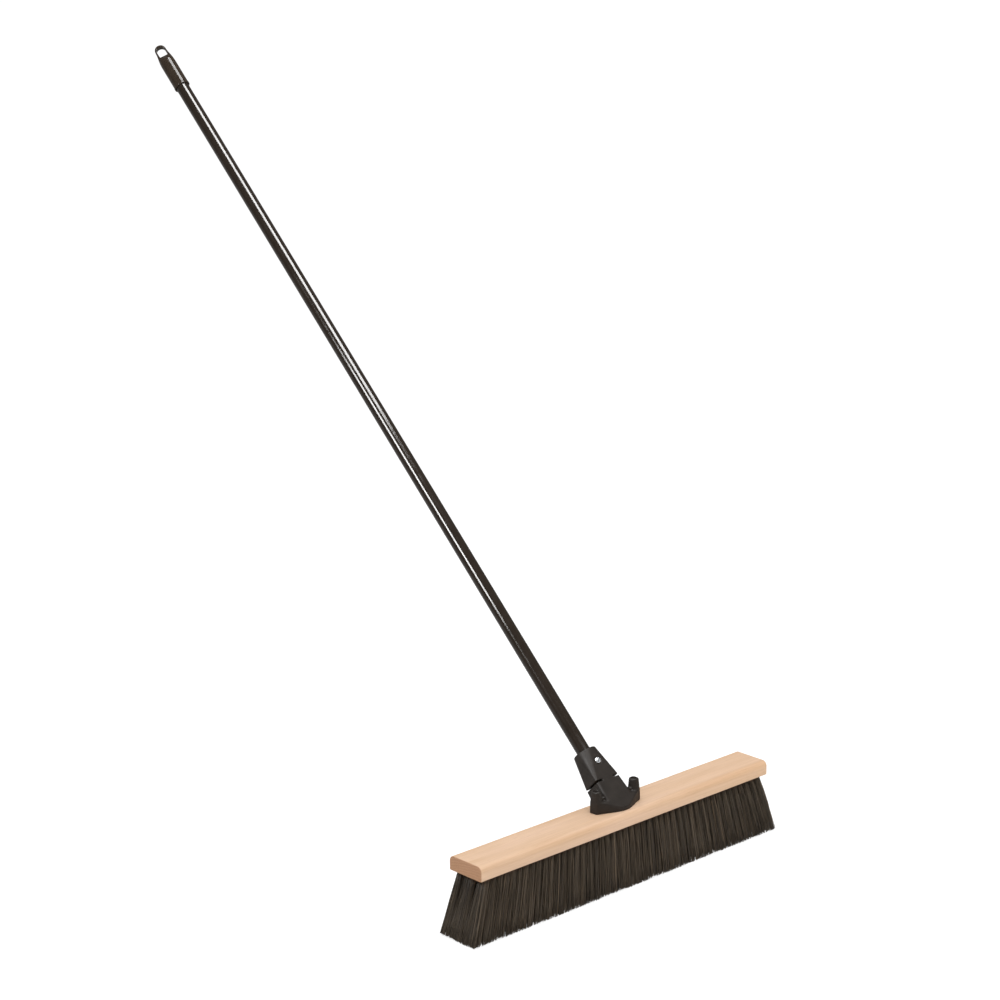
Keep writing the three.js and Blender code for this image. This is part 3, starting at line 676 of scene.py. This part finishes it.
def bracket_cuts(x, y, z, local):
    """Kerfs and relief holes, the tube's bore, the bolt's hole and seats, the screws' holes."""
    lx, ly, lz = local[..., 0], local[..., 1], local[..., 2]
    middle = (KERF[0] + KERF[1]) / 2
    slot = np.maximum(np.abs(lz - middle) - (KERF[1] - KERF[0]) / 2, NECK_HALF_WIDTH - np.abs(lx))
    relief = np.hypot(np.abs(lx) - RELIEF_X, lz - middle) - RELIEF_RADIUS
    cuts = smooth_min(slot, relief, 0.4)
    bore = np.maximum(np.hypot(lx, ly) - BORE_RADIUS, BORE_BOTTOM - lz)
    bolt_axis = np.hypot(lx, lz - BOLT_Z)
    seat = np.maximum(bolt_axis - BOLT_SEAT_RADIUS, BOLT_SEAT - np.abs(ly))
    screw_axis = np.hypot(np.abs(x) - BOSS_X, y)
    sink = np.maximum(screw_axis - SCREW_SINK_RADIUS, BOSS_TOP - SCREW_SINK_DEPTH - z)
    for cut in (bore, bolt_axis - BOLT_HOLE_RADIUS, seat, screw_axis - SCREW_HOLE_RADIUS, sink):
        cuts = np.minimum(cuts, cut)
    return cuts


def bracket_distance(points):
    """The one-piece moulding: skirt, bosses, webs, leaning tower, kerfed neck and socket."""
    x, y, z = points[..., 0], points[..., 1], points[..., 2] - BRACKET_Z
    ax, ay = np.abs(x), np.abs(y)
    local = to_handle(points)
    front = -local[..., 1] - TOWER_HALF[1] - TOWER_FLARE[1] * (KERF[0] - local[..., 2])

    # Skirt: a hexagon in plan, cut back where it would stand proud of the tower's front
    run, drop = SKIRT_HALF[0] - SKIRT_FRONT_HALF_FLAT, SKIRT_HALF[1] - SKIRT_END_HALF_WIDTH
    slant = (ax - SKIRT_FRONT_HALF_FLAT) * drop + (ay - SKIRT_HALF[1]) * run
    slant = slant / math.hypot(run, drop)
    plan = smooth_max(smooth_max(ay - SKIRT_HALF[1], slant, 2.5), ax - SKIRT_HALF[0], 3)
    plan = plan + SKIRT_DRAFT * z
    solid = smooth_max(smooth_max(plan, z - SKIRT_HEIGHT, 2.6), front, 1.2)

    # Tower, cut where it would reach past the skirt's front; fillets fade out at its front plane
    room = np.minimum(np.minimum(plan, -y), SKIRT_HEIGHT - 1.5 - z)
    tower = smooth_max(tower_distance(local), room, 0.8)
    fillet = np.clip(-0.3 * front, 0.02, 2.5)
    solid = smooth_min(solid, tower, np.minimum(fillet, 1.5))

    # Webs and bosses
    ridge = np.minimum(smooth_max(WEB_SHOULDER, WEB_SLOPE_FOOT - ax, 4), WEB_TOP)
    web = smooth_max(smooth_max(ay - WEB_HALF_THICKNESS, z - ridge, 2), ax - BOSS_X, 1)
    web = np.maximum(web, front + 0.6)
    width = BOSS_RADIUS + BOSS_DRAFT * np.clip(BOSS_TOP - z, 0, BOSS_DRAFT_HEIGHT)
    boss = smooth_max(np.hypot(ax - BOSS_X, y) - width, ax - BOSS_END_X, 1.5)
    boss = smooth_max(boss, z - BOSS_TOP, 2.6)
    solid = smooth_min(smooth_min(solid, web, fillet), boss, 2)

    solid = smooth_max(solid, -bracket_cuts(x, y, z, local), 0.7)
    return smooth_max(solid, -z, 0.6)


def build_bracket():
    low = np.array([-48.0, -25.0, BRACKET_Z - 1])
    high = np.array([48.0, 82.0, BRACKET_Z + 84])
    points, faces = surface(bracket_distance, low, high, 0.75)
    piece = make_piece("bracket_moulding", points, faces, BRACKET)
    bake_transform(piece)
    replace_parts(piece, "bracket_base", "handle_socket")


# ---------------------------------------------------------------- hang cap and tube

def cap_distance(points):
    """A barrel over the tube, a shoulder that narrows into a flat tab, and its D-shaped eye."""
    turn_cos, turn_sin = math.cos(EYE_TURN), math.sin(EYE_TURN)
    x = points[..., 0] * turn_cos - points[..., 1] * turn_sin
    y = points[..., 0] * turn_sin + points[..., 1] * turn_cos
    z = points[..., 2]
    radius = np.hypot(x, y)

    dome_z = CAP_TOP - TAB_HALF_WIDTH
    dome = np.sqrt(x * x + y * y + (z - dome_z) ** 2) - TAB_HALF_WIDTH
    body = np.where(z > dome_z, dome, radius - np.interp(z, *np.transpose(CAP_TAPER)))
    rise = np.clip((z - CAP_SHOULDER[0]) / (CAP_SHOULDER[1] - CAP_SHOULDER[0]), 0, 1)
    share = (1 - np.cos(math.pi * rise)) / 2
    thinning = (TAB_HALF_THICKNESS - CAP_HALF_THICKNESS) * share
    body = smooth_max(body, np.abs(y) - (CAP_HALF_THICKNESS + thinning), 3.0)
    rim = smooth_max(radius - CAP_RIM_RADIUS, z - (CAP_BOTTOM + CAP_RIM_LENGTH), 1.0)
    body = smooth_max(smooth_min(body, rim, 0.5), CAP_BOTTOM - z, 1.0)

    arch_z = CAP_TOP - EYE_TOP_WALL - EYE_HALF_WIDTH
    arch = np.where(z > arch_z, np.hypot(x, z - arch_z), np.abs(x)) - EYE_HALF_WIDTH
    eye = smooth_max(arch, CAP_TOP - EYE_DEPTH - z, 1.6)
    bore = np.maximum(radius - BORE_RADIUS, z - TUBE_ENDS[1] - SEAT_GAP)
    return smooth_max(smooth_max(body, -eye, 1.6), -bore, 0.8)


def build_cap():
    low, high = (-14.5, -14.5, CAP_BOTTOM - 1), (14.5, 14.5, CAP_TOP + 1)
    points, faces = surface(cap_distance, low, high, 0.6)
    piece = make_piece("hang_cap_moulding", from_handle(points), faces, CAP)
    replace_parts(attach(piece, "handle"), "hang_cap")


def build_tube():
    inner, shoulder = TUBE_RADIUS - TUBE_WALL, TUBE_RADIUS - TUBE_CHAMFER
    low, high = TUBE_ENDS
    levels = np.linspace(low + TUBE_CHAMFER, high - TUBE_CHAMFER, 60)
    profile = [(inner, low), (shoulder, low)] + [(TUBE_RADIUS, z) for z in levels]
    profile += [(shoulder, high), (inner, high)]
    points, faces = lathe(profile, 96)
    piece = make_piece("handle_tube_painted", from_handle(points), faces, PAINT)
    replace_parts(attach(piece, "handle"), "handle_tube")


# ---------------------------------------------------------------- fasteners

def cross_recess(u, v, below_top, width, span, depth):
    """A cruciform recess that narrows downwards; below_top is positive inside the metal."""
    shrink = 0.25 * below_top
    bar_a = np.maximum(np.abs(u) - width / 2, np.abs(v) - span / 2 + shrink)
    bar_b = np.maximum(np.abs(v) - width / 2, np.abs(u) - span / 2 + shrink)
    return np.maximum(np.minimum(bar_a, bar_b), below_top - depth)


def thread(x, y, z, height, pitch, top):
    """The ridges of a screw thread, on everything below `top`."""
    return height * np.sin(2 * math.pi * z / pitch + np.arctan2(y, x)) * (z < top)


def bolt_distance(points):
    """Domed head to the front (+Z here), shank through the socket and a threaded tail."""
    x, y, z = points[..., 0], points[..., 1], points[..., 2]
    radius = np.hypot(x, y)
    seat = BOLT_SEAT + SEAT_GAP
    top = seat + BOLT_HEAD_HEIGHT
    dome = np.sqrt(radius ** 2 + (z - (top - BOLT_DOME_RADIUS)) ** 2) - BOLT_DOME_RADIUS
    head = smooth_max(smooth_max(radius - BOLT_HEAD_RADIUS, dome, 0.8), seat - z, 0.5)
    side = radius - BOLT_SHANK_RADIUS - thread(x, y, z, height=0.22, pitch=1.0, top=-2)
    shank = np.maximum(smooth_max(side, -NUT_OUTER - BOLT_TAIL - z, 0.8), z - top + 1)
    recess = cross_recess(x, y, top - z, width=1.3, span=5.4, depth=1.8)
    return smooth_max(np.minimum(head, shank), -recess, 0.25)


def screw_distance(points):
    """A countersunk wood screw, head up, from its point to the head's flat top at z 0."""
    x, y, z = points[..., 0], points[..., 1], points[..., 2]
    radius = np.hypot(x, y)
    cone = (radius - 2.2 + 0.73 * (-3 - z)) * 0.8
    head = np.maximum(smooth_max(radius - SCREW_HEAD_RADIUS, z, 0.4), cone)
    head = np.maximum(head, -SCREW_HEAD_HEIGHT - z)
    taper = np.clip((z + SCREW_LENGTH) / SCREW_POINT, 0, 1)
    ridges = thread(x, y, z, height=0.3, pitch=1.8, top=SCREW_THREAD_TOP)
    side = radius - (SCREW_SHANK_RADIUS + ridges) * taper
    shank = np.maximum(side, np.maximum(z + 1, -SCREW_LENGTH - z))
    recess = cross_recess(x, y, -z, width=1.2, span=4.6, depth=1.9)
    return smooth_max(smooth_min(head, shank, 0.3), -recess, 0.2)


def nut_distance(points):
    """A hexagon nut with chamfered corners and a countersunk hole."""
    x, y, z = points[..., 0], points[..., 1], points[..., 2]
    radius = np.hypot(x, y)
    flats = np.abs(x)
    for angle in (60, 120):
        turn = math.radians(angle)
        flats = np.maximum(flats, np.abs(x * math.cos(turn) + y * math.sin(turn)))
    body = np.maximum(flats - NUT_HALF_FLATS, np.maximum(-NUT_OUTER - z, z + NUT_INNER))
    level = np.abs(z + (NUT_OUTER + NUT_INNER) / 2)
    cone = (radius - NUT_CHAMFER_RADIUS + 1.5 * (level - 2.3)) * 0.55
    hole = NUT_THREAD_RADIUS + 0.25 * np.maximum(level - 2, 0) - radius
    return smooth_max(smooth_max(body, cone, 0.2), hole, 0.2)


def laid_forward(points):
    """From a frame with +Z towards the bolt's head to the handle's frame, at the bolt's height."""
    x, y, z = points[:, 0], points[:, 1], points[:, 2]
    return np.stack([x, -z, y + BOLT_Z], 1)


def washer_profile():
    low, high = -BOLT_SEAT - SEAT_GAP - WASHER_THICKNESS, -BOLT_SEAT - SEAT_GAP
    land = WASHER_RADIUS - WASHER_CHAMFER
    return [(BOLT_HOLE_RADIUS, low), (land, low), (WASHER_RADIUS, low + WASHER_CHAMFER),
            (WASHER_RADIUS, high - WASHER_CHAMFER), (land, high), (BOLT_HOLE_RADIUS, high)]


def build_fasteners():
    low, high = (-5.8, -5.8, -NUT_OUTER - BOLT_TAIL - 0.3), (5.8, 5.8, BOLT_SEAT + 4.3)
    points, faces = surface(bolt_distance, low, high, 0.24)
    bolt = make_piece("socket_bolt_zinc", from_handle(laid_forward(points)), faces, ZINC)
    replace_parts(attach(bolt, "handle"), "socket_bolt")

    low, high = (-6.2, -6.2, -NUT_OUTER - 0.4), (6.2, 6.2, -NUT_INNER + 0.4)
    points, faces = surface(nut_distance, low, high, 0.3)
    nut = make_piece("bolt_nut_zinc", from_handle(laid_forward(points)), faces, ZINC)
    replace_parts(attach(nut, "handle"), "bolt_nut")

    points, faces = lathe(washer_profile(), 64)
    points = from_handle(laid_forward(points))
    washer = make_piece("bolt_washer_zinc", points, faces, ZINC, smooth=False)
    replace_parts(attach(washer, "handle"), "bolt_washer")

    low, high = (-4.7, -4.7, -SCREW_LENGTH - 0.3), (4.7, 4.7, 0.5)
    points, faces = surface(screw_distance, low, high, 0.26)
    for side, x in (("left", -BOSS_X), ("right", BOSS_X)):
        at = points + (x, 0, BRACKET_Z + BOSS_TOP - SCREW_SINK)
        screw = make_piece(f"base_screw_{side}_zinc", at, faces, ZINC)
        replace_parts(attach(screw, "head"), f"base_screw_{side}")


# ---------------------------------------------------------------- stage, lights and camera

def mix_shaders(tree, share, first, second):
    """A node that shows the first shader where share is 0 and the second where it is 1."""
    return add(tree, "ShaderNodeMixShader", {0: share, 1: first.outputs[0], 2: second.outputs[0]})


def build_floor():
    """A plain pale floor: white where it is looked at, darker in the part's shadow."""
    half, z = 40.0, -0.0005
    mesh = bpy.data.meshes.new("floor")
    corners = [(-half, -half, z), (half, -half, z), (half, half, z), (-half, half, z)]
    mesh.from_pydata(corners, [], [(0, 1, 2, 3)])
    floor = bpy.data.objects.new("floor", mesh)
    bpy.context.scene.collection.objects.link(floor)
    material = bpy.data.materials.new("floor")
    material.use_nodes = True
    tree = material.node_tree
    tree.nodes.clear()
    plain = add(tree, "ShaderNodeBsdfDiffuse", Color=(0.8, 0.8, 0.8, 1))
    shaded = add(tree, "ShaderNodeBsdfDiffuse", Color=(0.42, 0.42, 0.42, 1))
    glow = add(tree, "ShaderNodeEmission", Color=(1, 1, 1, 1), Strength=0.76)
    white = add(tree, "ShaderNodeAddShader", {0: shaded.outputs[0], 1: glow.outputs[0]})
    both = mix_shaders(tree, seen_directly(tree), plain, white)
    add(tree, "ShaderNodeOutputMaterial", {"Surface": both.outputs[0]})
    mesh.materials.append(material)


def seen_directly(tree):
    """1 for camera and transmission rays, and 0 for light that bounces."""
    path = add(tree, "ShaderNodeLightPath").outputs
    either = add(tree, "ShaderNodeMath",
                 {0: path["Is Camera Ray"], 1: path["Is Transmission Ray"]}, operation="MAXIMUM")
    return either.outputs[0]


def build_world():
    """White to the camera, a soft even light on the part, and a dim room in its reflections."""
    world = bpy.data.worlds.new("studio")
    bpy.context.scene.world = world
    world.use_nodes = True
    tree = world.node_tree
    tree.nodes.clear()
    soft, white, room = (
        add(tree, "ShaderNodeBackground", Color=(1, 1, 1, 1), Strength=strength)
        for strength in (0.68, 1.0, 0.2))
    path = add(tree, "ShaderNodeLightPath").outputs
    unseen = mix_shaders(tree, path["Is Glossy Ray"], soft, room)
    both = mix_shaders(tree, path["Is Camera Ray"], unseen, white)
    add(tree, "ShaderNodeOutputWorld", {"Surface": both.outputs[0]})


def area_light(name, at, target, size, power, along=(0, 0, 1), mirrored=False):
    """A soft box facing a point: one to light the scene by, or one that is only seen mirrored."""
    data = bpy.data.lights.new(name, "AREA")
    data.shape = "RECTANGLE"
    data.size, data.size_y = size
    data.energy = power
    light = bpy.data.objects.new(name, data)
    back = (Vector(at) - Vector(target)).normalized()
    side = Vector(along).cross(back).normalized()
    turned = Matrix((side, back.cross(side), back)).transposed()
    light.matrix_world = Matrix.Translation(at) @ turned.to_4x4()
    light.visible_diffuse = not mirrored
    light.visible_glossy = mirrored
    light.visible_camera = False
    bpy.context.scene.collection.objects.link(light)


# The camera's place, its sight line and the direction to its right
CAMERA_AT = Vector((-2.611933, -2.612305, 1.598150))
CAMERA_SIGHT = Vector((0.65086539, 0.71303844, -0.26067301))
CAMERA_RIGHT = Vector((0.73611222, -0.67673191, -0.0131425))
CAMERA_LENS = 93.924
CAMERA_SENSOR = 36.0
HIGHLIGHT_DISTANCE = 2.2


def highlight_box(name, height, across, size, power, lean=0.0, tilt=0.0):
    """A soft box that the tube mirrors at a height along it, `across` radii right of its middle.

    Its top leans sideways by `lean`, and back from the tube by `tilt` degrees, which narrows the
    highlight.
    """
    up = Vector(HANDLE_AXES[2])
    point = Vector(from_handle((0, 0, height)) * MM)
    sight = (CAMERA_AT - point).normalized()
    facing = (sight - up * sight.dot(up)).normalized()
    right = up.cross(facing)
    normal = right * across + facing * math.sqrt(1 - across * across)
    ray = 2 * normal.dot(sight) * normal - sight
    at = point + ray * HIGHLIGHT_DISTANCE
    turn = math.radians(tilt)
    back = ray * math.cos(turn) - up * math.sin(turn)
    area_light(name, at, at - back, size, power, up + right * lean, mirrored=True)


def build_lights():
    area_light("key", (-0.4, -1.0, 3.85), target=(0, 0, 0.1), size=(2.4, 2.0), power=65)
    area_light("fill", (1.3, -1.25, 0.3), target=(0.25, 0, 0.05), size=(0.8, 0.8), power=3.6)
    highlight_box("upper_strip", 1285, across=0.37, size=(1.15, 1.9), power=245,
                  lean=-0.05, tilt=35)
    highlight_box("lower_strip", 600, across=-0.18, size=(0.78, 0.7), power=80)
    highlight_box("socket_box", 0, across=0.4, size=(2.6, 0.24), power=10)


def build_camera():
    data = bpy.data.cameras.new("camera")
    data.lens = CAMERA_LENS
    data.sensor_width = CAMERA_SENSOR
    camera = bpy.data.objects.new("camera", data)
    up = CAMERA_RIGHT.cross(CAMERA_SIGHT).normalized()
    sight = up.cross(CAMERA_RIGHT).normalized()
    turn = Matrix((CAMERA_RIGHT.normalized(), up, -sight)).transposed().to_4x4()
    camera.matrix_world = Matrix.Translation(CAMERA_AT) @ turn
    bpy.context.scene.collection.objects.link(camera)
    bpy.context.scene.camera = camera


build_block()
build_bristles()
build_bracket()
build_cap()
build_tube()
build_fasteners()
build_floor()
build_world()
build_lights()
build_camera()
bpy.context.scene.view_settings.view_transform = "Standard"
